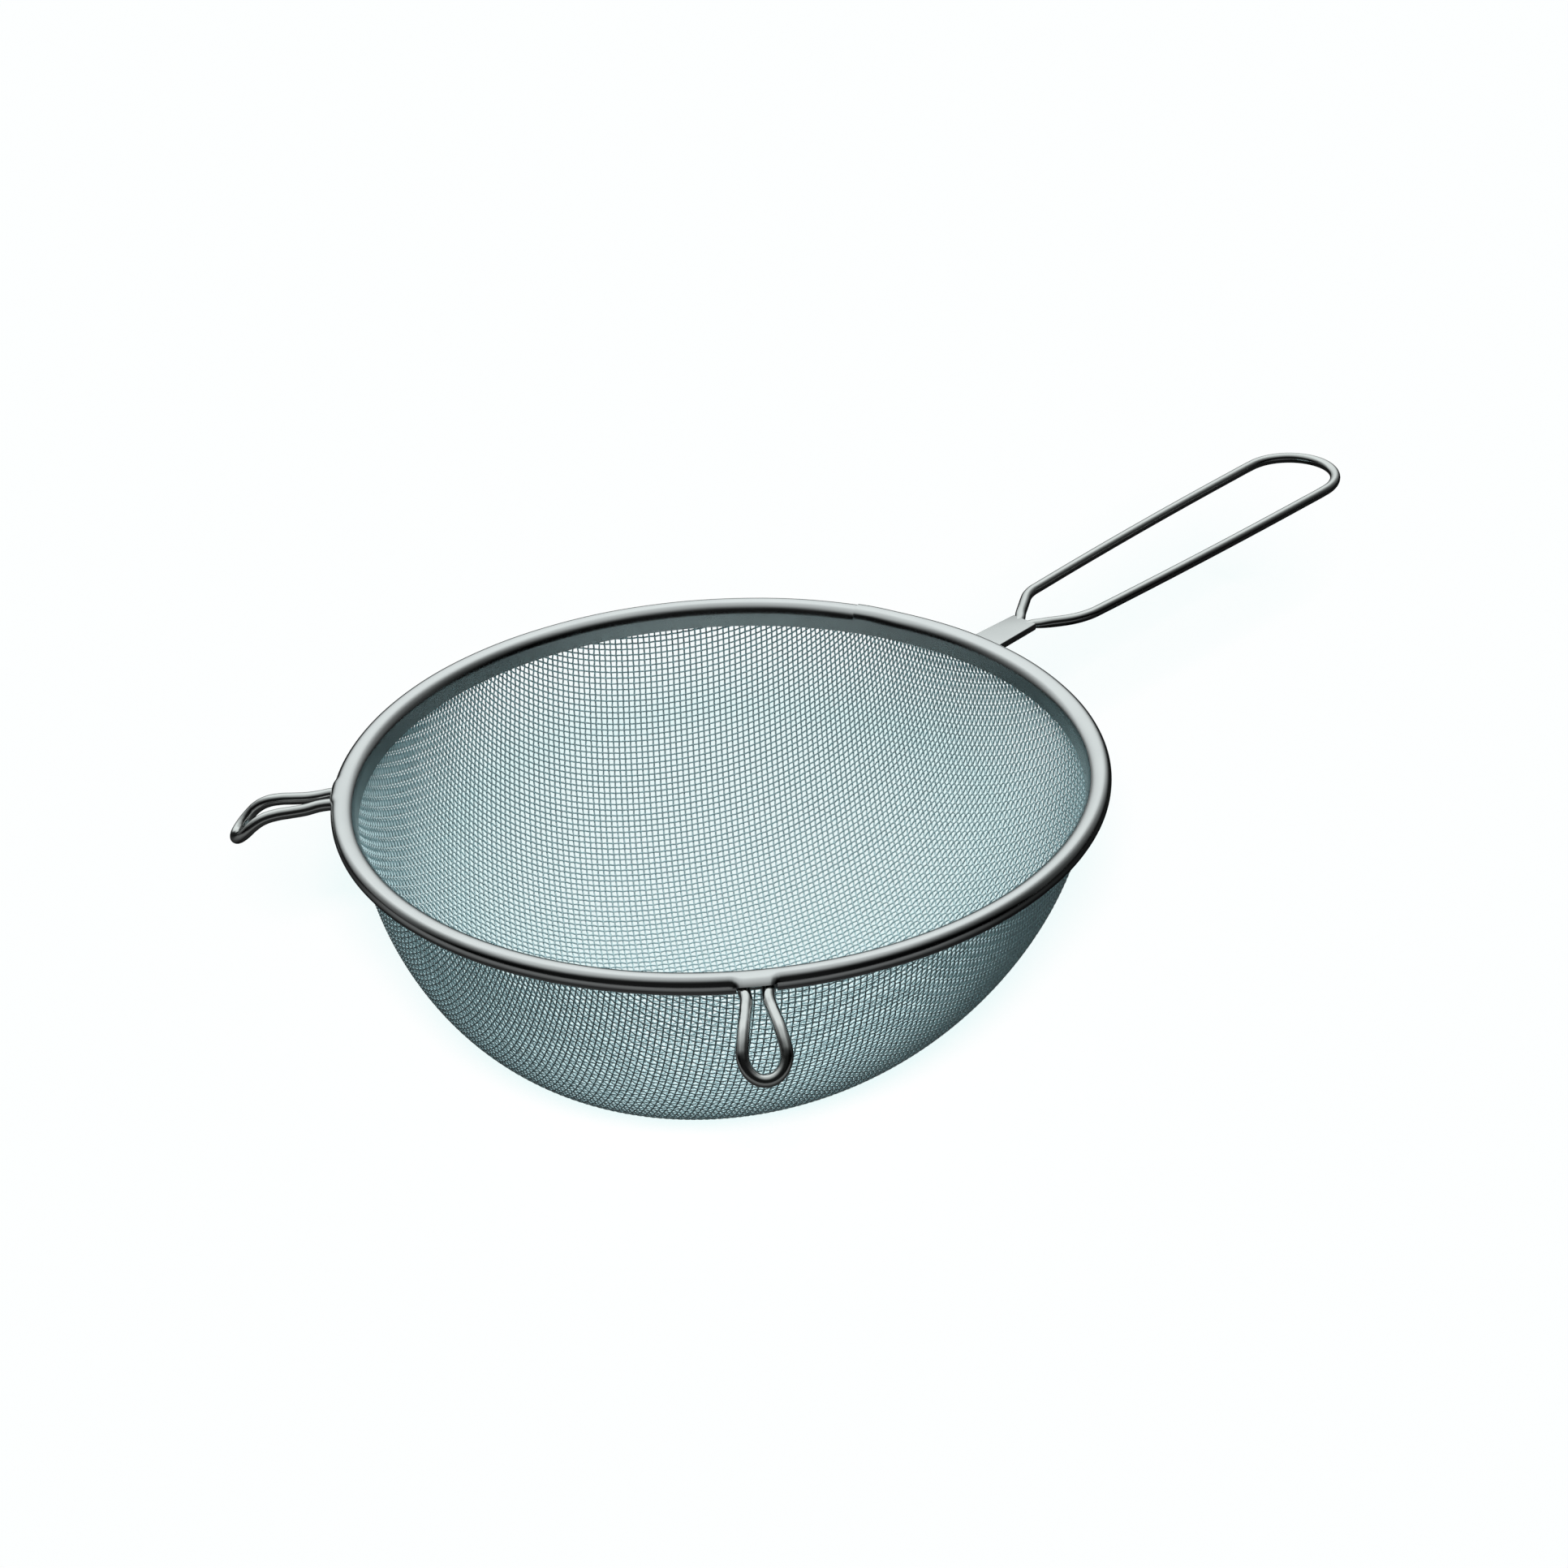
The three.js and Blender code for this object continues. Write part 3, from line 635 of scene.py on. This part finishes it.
hook_wires = {}
for word, angle in HOOK_ANGLES.items():
    line = hook_line(*HOOK_SHAPES[word], TAB_CURVES[word][-1][1] - SHEET / 2 - HOOK_TOP)
    c, s = math.cos(math.radians(angle)), math.sin(math.radians(angle))
    x, y, z = line.T
    line = np.c_[x * c - y * s, x * s + y * c, z] + rim_middle
    hook_wires[word] = round_wire(f"hook_{word}_wire", [line], HOOK_WIRE, WIRE_SIDES, "BEZIER", 8)


# Finishes.
def wear(name, colour, darker, roughness, grain, bump, metal=1.0):
    """Steel with clouds of wear in its colour and gloss, and a fine grain."""
    material = bpy.data.materials.new(name)
    material.use_nodes = True
    nodes, links = material.node_tree.nodes, material.node_tree.links
    shader = nodes["Principled BSDF"]
    shader.inputs["Base Color"].default_value = (*colour, 1)
    shader.inputs["Metallic"].default_value = metal
    shader.inputs["Roughness"].default_value = roughness[0]
    where = nodes.new("ShaderNodeTexCoord")
    clouds = nodes.new("ShaderNodeTexNoise")
    clouds.inputs["Scale"].default_value = 60.0
    clouds.inputs["Detail"].default_value = 4.0
    links.new(where.outputs["Object"], clouds.inputs["Vector"])
    tone = nodes.new("ShaderNodeMix")
    tone.data_type = "RGBA"
    tone.inputs["A"].default_value = (*colour, 1)
    tone.inputs["B"].default_value = (*darker, 1)
    links.new(clouds.outputs["Fac"], tone.inputs["Factor"])
    links.new(tone.outputs["Result"], shader.inputs["Base Color"])
    gloss = nodes.new("ShaderNodeMapRange")
    gloss.inputs["From Min"].default_value = 0.3
    gloss.inputs["From Max"].default_value = 0.7
    gloss.inputs["To Min"].default_value = roughness[0]
    gloss.inputs["To Max"].default_value = roughness[1]
    links.new(clouds.outputs["Fac"], gloss.inputs["Value"])
    links.new(gloss.outputs["Result"], shader.inputs["Roughness"])
    lines = nodes.new("ShaderNodeTexNoise")
    lines.inputs["Scale"].default_value = grain
    lines.inputs["Detail"].default_value = 3.0
    links.new(where.outputs["Object"], lines.inputs["Vector"])
    relief = nodes.new("ShaderNodeBump")
    relief.inputs["Strength"].default_value = bump
    relief.inputs["Distance"].default_value = 0.0001
    links.new(lines.outputs["Fac"], relief.inputs["Height"])
    links.new(relief.outputs["Normal"], shader.inputs["Normal"])
    return material


woven_steel = wear("woven_steel", (0.65, 0.83, 0.86), (0.58, 0.76, 0.79), (0.42, 0.54), 900.0, 0.1, 0.4)
rolled_steel = wear("rolled_steel", (0.605, 0.60, 0.60), (0.555, 0.55, 0.555), (0.10, 0.17), 700.0, 0.05)
bent_steel = wear("bent_steel", (0.60, 0.595, 0.585), (0.54, 0.535, 0.53), (0.11, 0.19), 700.0, 0.06)
plate_steel = wear("plate_steel", (0.575, 0.57, 0.565), (0.53, 0.525, 0.525), (0.20, 0.30), 800.0, 0.08)
core_steel = wear("core_steel", (0.50, 0.53, 0.54), (0.42, 0.45, 0.46), (0.30, 0.42), 600.0, 0.1)


# Where the rim's inner leg starts and is fully dull, in millimetres inside the bead's middle.
DULL_START = 3.6
DULL_FULL = 4.2
DULL_ROUGHNESS = 0.1
DULL_COLOUR = (0.39, 0.39, 0.385, 1)


def dull_legs(material):
    """The rim's legs are duller than its polished roll."""
    nodes, links = material.node_tree.nodes, material.node_tree.links
    shader = nodes["Principled BSDF"]
    gloss = shader.inputs["Roughness"].links[0].from_socket
    where = nodes.new("ShaderNodeTexCoord")
    centred = nodes.new("ShaderNodeVectorMath")
    centred.operation = "SUBTRACT"
    centred.inputs[1].default_value = (rim_middle[0] * MM, 0, 0)
    links.new(where.outputs["Object"], centred.inputs[0])
    flat = nodes.new("ShaderNodeVectorMath")
    flat.operation = "MULTIPLY"
    flat.inputs[1].default_value = (1, 1, 0)
    links.new(centred.outputs["Vector"], flat.inputs[0])
    reach = nodes.new("ShaderNodeVectorMath")
    reach.operation = "LENGTH"
    links.new(flat.outputs["Vector"], reach.inputs[0])
    leg = nodes.new("ShaderNodeMapRange")
    leg.inputs["From Min"].default_value = (ring_radius - DULL_START) * MM
    leg.inputs["From Max"].default_value = (ring_radius - DULL_FULL) * MM
    links.new(reach.outputs["Value"], leg.inputs["Value"])
    total = nodes.new("ShaderNodeMath")
    total.operation = "MULTIPLY_ADD"
    total.inputs[1].default_value = DULL_ROUGHNESS
    links.new(leg.outputs["Result"], total.inputs[0])
    links.new(gloss, total.inputs[2])
    links.new(total.outputs[0], shader.inputs["Roughness"])
    darker = nodes.new("ShaderNodeMix")
    darker.data_type = "RGBA"
    darker.inputs["B"].default_value = DULL_COLOUR
    links.new(shader.inputs["Base Color"].links[0].from_socket, darker.inputs["A"])
    links.new(leg.outputs["Result"], darker.inputs["Factor"])
    links.new(darker.outputs["Result"], shader.inputs["Base Color"])


dull_legs(rolled_steel)


def dress(piece, material, slot, *nodes):
    """Give a piece its finish, attach it to the root and hide the solids it stands for."""
    piece.data.materials.clear()
    piece.data.materials.append(material)
    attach(piece, "root")
    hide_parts(*nodes)


for piece in cloth_pieces:
    dress(piece, woven_steel, "wire_cloth", "mesh_bowl")
dress(rim_sheet, rolled_steel, "rolled_sheet", "rim_band")
dress(handle_wire, bent_steel, "bent_wire", "handle_loop")
dress(tang_plate, plate_steel, "tang_plate", "handle_tang")
dress(hook_wires["left"], bent_steel, "bent_wire", "hook_left")
dress(hook_wires["front"], bent_steel, "bent_wire", "hook_front")
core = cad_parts["core_ring"]
core.data.materials.clear()
core.data.materials.append(core_steel)

# Camera at the photograph's angle, with the middle of the rim at its pixel.
IMAGE_SIDE = 1932
SENSOR = 36.0
FOCAL_PIXELS = 4293.0
RIM_PIXEL = (888.2, 958.7)
CAMERA_DEPTH = 1074.2
CAMERA_ELEVATION = math.radians(29.56)
CAMERA_ROLL = math.radians(-2.80)
HANDLE_TURN = math.radians(43.1)


def place_camera():
    """Set the camera up and give its place from the middle of the rim, in millimetres."""
    ahead = Vector((0, math.cos(CAMERA_ELEVATION), -math.sin(CAMERA_ELEVATION)))
    above = Vector((0, math.sin(CAMERA_ELEVATION), math.cos(CAMERA_ELEVATION)))
    aside = Vector((1, 0, 0))
    right = math.cos(CAMERA_ROLL) * aside + math.sin(CAMERA_ROLL) * above
    up = math.cos(CAMERA_ROLL) * above - math.sin(CAMERA_ROLL) * aside
    scale = CAMERA_DEPTH / FOCAL_PIXELS
    across = (RIM_PIXEL[0] - IMAGE_SIDE / 2) * scale
    below = (RIM_PIXEL[1] - IMAGE_SIDE / 2) * scale
    place = -(right * across - up * below + ahead * CAMERA_DEPTH)
    turn = Matrix.Rotation(-HANDLE_TURN, 3, "Z")
    deselect()
    bpy.ops.object.camera_add()
    camera = bpy.context.object
    camera.data.sensor_width = SENSOR
    camera.data.lens = FOCAL_PIXELS / IMAGE_SIDE * SENSOR
    camera.data.clip_start = 0.01
    camera.data.clip_end = 100.0
    columns = Matrix((turn @ right, turn @ up, turn @ -ahead)).transposed()
    camera.matrix_world = Matrix.Translation((turn @ place + Vector(rim_middle)) * MM) @ columns.to_4x4()
    bpy.context.scene.camera = camera
    return turn @ place


camera_from_rim = place_camera()

# Studio: white background, a pale floor, and a tent and ground that only the metal sees.
scene = bpy.context.scene
scene.view_settings.view_transform = "Standard"
toward_camera = math.atan2(camera_from_rim.y, camera_from_rim.x)

# Sizes of the studio in metres, but for the ground's height, which is in millimetres over the base.
FLOOR_RADIUS = 20.0
TENT_RADIUS = 5.0
TENT_SKIRT = 0.6
GROUND_RADIUS = 4.9
GROUND_HEIGHT = 0.3
GROUND_TURN = math.radians(20)


def seen_directly(nodes, links):
    """1 for rays from the camera, from metal and through glass, else 0."""
    path = nodes.new("ShaderNodeLightPath")
    camera_or_gloss = nodes.new("ShaderNodeMath")
    camera_or_gloss.operation = "MAXIMUM"
    links.new(path.outputs["Is Camera Ray"], camera_or_gloss.inputs[0])
    links.new(path.outputs["Is Glossy Ray"], camera_or_gloss.inputs[1])
    any_of = nodes.new("ShaderNodeMath")
    any_of.operation = "MAXIMUM"
    links.new(camera_or_gloss.outputs[0], any_of.inputs[0])
    links.new(path.outputs["Is Transmission Ray"], any_of.inputs[1])
    return any_of.outputs[0]


def light_room():
    """White surroundings for what is seen directly, and a weaker even light for dull surfaces."""
    world = bpy.data.worlds.new("white_studio")
    world.use_nodes = True
    scene.world = world
    nodes, links = world.node_tree.nodes, world.node_tree.links
    white = nodes["Background"]
    white.inputs["Color"].default_value = (0.984, 1.0, 1.0, 1)
    level = nodes.new("ShaderNodeMapRange")
    level.inputs["To Min"].default_value = 0.03
    level.inputs["To Max"].default_value = 1.0
    links.new(seen_directly(nodes, links), level.inputs["Value"])
    links.new(level.outputs["Result"], white.inputs["Strength"])


def hang_lamp(name, turn, height, spread, share, lit):
    """A wide lamp for some pieces alone. Its turn from the camera, height and spread are in degrees."""
    deselect()
    height = math.radians(height)
    bpy.ops.object.light_add(
        type="SUN", rotation=(0, math.pi / 2 - height, toward_camera + math.radians(turn))
    )
    lamp = bpy.context.object
    lamp.name = name
    lamp.data.angle = math.radians(spread)
    lamp.data.energy = share * math.pi / math.sin(height)
    lamp.visible_glossy = False
    receivers = bpy.data.collections.new(name + "_lit")
    for piece in lit:
        receivers.objects.link(piece)
    lamp.light_linking.receiver_collection = receivers


def bare_material(name):
    """A material whose nodes are still to be laid, with its nodes and links."""
    material = bpy.data.materials.new(name)
    material.use_nodes = True
    nodes, links = material.node_tree.nodes, material.node_tree.links
    nodes.clear()
    return material, nodes, links


def distance_out(nodes, links, where):
    """Distance from the object's own middle."""
    reach = nodes.new("ShaderNodeVectorMath")
    reach.operation = "LENGTH"
    links.new(where.outputs["Object"], reach.inputs[0])
    return reach.outputs["Value"]


def ramp(nodes, links, source, low, high, stops, tint=(1.0, 1.0, 1.0)):
    """Brightness by place: stops of (place, brightness) between two places."""
    spread = nodes.new("ShaderNodeMapRange")
    spread.inputs["From Min"].default_value = low
    spread.inputs["From Max"].default_value = high
    links.new(source, spread.inputs["Value"])
    colours = nodes.new("ShaderNodeValToRGB")
    links.new(spread.outputs["Result"], colours.inputs["Fac"])
    elements = colours.color_ramp.elements
    while len(elements) < len(stops):
        elements.new(0.5)
    for element, (place, level) in zip(elements, stops):
        element.position = (place - low) / (high - low)
        element.color = (level * tint[0], level * tint[1], level * tint[2], 1)
    return colours.outputs["Color"]


def lay_floor():
    """A pale floor that is white where it is lit; to dull surfaces it is a painted glow, bright under the
    bowl and dim elsewhere.
    """
    deselect()
    # The floor is low enough for the wires, which are drawn thicker than the cloth of the solids.
    lowest = -(BASE_FLAT + DRAWN_WIRE - CLOTH_WIRE) * MM
    bpy.ops.mesh.primitive_circle_add(
        vertices=96, radius=FLOOR_RADIUS, fill_type="NGON", location=(0, 0, lowest)
    )
    floor = bpy.context.object
    floor.name = "floor"
    material, nodes, links = bare_material("pale_floor")
    shaded = nodes.new("ShaderNodeBsdfDiffuse")
    shaded.inputs["Color"].default_value = (0.35, 0.12, 0.12, 1)
    glow = nodes.new("ShaderNodeEmission")
    glow.inputs["Color"].default_value = (0.64, 0.88, 0.88, 1)
    white = nodes.new("ShaderNodeAddShader")
    links.new(shaded.outputs[0], white.inputs[0])
    links.new(glow.outputs[0], white.inputs[1])
    # Painted light: for rays not seen directly the floor is a glow, bright under the bowl and dim beyond,
    # that lights the cloth from below.
    painted_glow = nodes.new("ShaderNodeEmission")
    reach = distance_out(nodes, links, nodes.new("ShaderNodeTexCoord"))
    painted_glow_colour = ramp(nodes, links, reach, 0.0, 0.4, [
        (0.0, 0.45), (0.05, 0.4), (0.085, 0.06), (0.4, 0.05),
    ])
    links.new(painted_glow_colour, painted_glow.inputs["Color"])
    mix = nodes.new("ShaderNodeMixShader")
    links.new(seen_directly(nodes, links), mix.inputs["Fac"])
    links.new(painted_glow.outputs[0], mix.inputs[1])
    links.new(white.outputs[0], mix.inputs[2])
    result = nodes.new("ShaderNodeOutputMaterial")
    links.new(mix.outputs[0], result.inputs["Surface"])
    floor.data.materials.append(material)
    return floor


def card_glow(card, name):
    """Glow of a card that only metal sees, with its nodes."""
    material, nodes, links = bare_material(name)
    glow = nodes.new("ShaderNodeEmission")
    result = nodes.new("ShaderNodeOutputMaterial")
    links.new(glow.outputs[0], result.inputs["Surface"])
    card.name = name
    card.data.materials.append(material)
    card.visible_camera = False
    card.visible_diffuse = False
    card.visible_shadow = False
    card.visible_transmission = False
    card.visible_volume_scatter = False
    return glow, nodes, links


def multiplied(nodes, links, first, second):
    """Product of two colours."""
    both = nodes.new("ShaderNodeMix")
    both.data_type = "RGBA"
    both.blend_type = "MULTIPLY"
    both.inputs["Factor"].default_value = 1.0
    links.new(first, both.inputs["A"])
    links.new(second, both.inputs["B"])
    return both.outputs["Result"]


def pitch_tent():
    """A round tent that is bright behind and overhead, and dark on the camera's side."""
    deselect()
    bpy.ops.mesh.primitive_uv_sphere_add(
        segments=64,
        ring_count=32,
        radius=TENT_RADIUS,
        location=rim_middle * MM,
        rotation=(0, 0, toward_camera),
    )
    tent = bpy.context.object
    delete_vertices(tent, vertices_of(tent)[:, 2] < -TENT_SKIRT)
    glow, nodes, links = card_glow(tent, "studio_tent")
    where = nodes.new("ShaderNodeTexCoord")
    turned = nodes.new("ShaderNodeVectorMath")
    turned.operation = "MULTIPLY"
    turned.inputs[1].default_value = (-1, 1, 1)
    links.new(where.outputs["Object"], turned.inputs[0])
    axes = nodes.new("ShaderNodeSeparateXYZ")
    links.new(turned.outputs["Vector"], axes.inputs[0])
    over = nodes.new("ShaderNodeMath")
    over.operation = "ARCTAN2"
    links.new(axes.outputs["Z"], over.inputs[0])
    links.new(axes.outputs["X"], over.inputs[1])
    degrees = [
        (0, 0.12), (5, 0.33), (10, 0.6), (15, 0.84), (20, 1.02), (30, 1.2),
        (45, 1.28), (64, 1.3), (72, 1.06), (82, 0.86), (92, 0.74), (101, 0.61),
        (110, 0.42), (119, 0.20), (128, 0.06), (137, 0.012), (180, 0.014),
    ]
    stops = [(math.radians(d), level) for d, level in degrees]
    arch = ramp(nodes, links, over.outputs[0], 0.0, math.pi, stops, (0.92, 1.0, 0.995))
    sides = ramp(nodes, links, axes.outputs["Y"], -TENT_RADIUS, TENT_RADIUS, [
        (-TENT_RADIUS, 0.05), (-4.3, 0.22), (-3.5, 0.6), (-2.7, 1.0),
        (1.2, 1.0), (2.0, 0.85), (2.5, 0.55), (3.4, 0.2), (4.4, 0.06), (TENT_RADIUS, 0.03),
    ])
    links.new(multiplied(nodes, links, arch, sides), glow.inputs["Color"])


def lay_dark_ground():
    """A ground that only metal sees: pale under the bowl, dark round it and grey towards the camera."""
    deselect()
    bpy.ops.mesh.primitive_circle_add(
        vertices=96,
        radius=GROUND_RADIUS,
        fill_type="NGON",
        location=(BASE_OFFSET * MM, 0, (GROUND_HEIGHT - BASE_FLAT) * MM),
        rotation=(0, 0, toward_camera - GROUND_TURN),
    )
    glow, nodes, links = card_glow(bpy.context.object, "dark_ground")
    where = nodes.new("ShaderNodeTexCoord")
    rings = ramp(nodes, links, distance_out(nodes, links, where), 0.0, 2.0, [
        (0.0, 1.3), (0.05, 0.8), (0.08, 0.1), (0.18, 0.03), (0.22, 0.12),
        (0.31, 0.21), (0.45, 0.21), (0.9, 0.15), (2.0, 0.04),
    ], (0.94, 1.0, 1.0))
    axes = nodes.new("ShaderNodeSeparateXYZ")
    links.new(where.outputs["Object"], axes.inputs[0])
    front = ramp(nodes, links, axes.outputs["X"], -0.3, 0.3, [
        (-0.15, 0.07), (0.0, 0.2), (0.16, 0.9), (0.3, 1.0),
    ])
    links.new(multiplied(nodes, links, rings, front), glow.inputs["Color"])


light_room()
hang_lamp("floor_lamp", 0, 36, 20, 0.95, [lay_floor()])
hang_lamp("cloth_lamp", 174, 54, 90, 1.15, cloth_pieces)
pitch_tent()
lay_dark_ground()
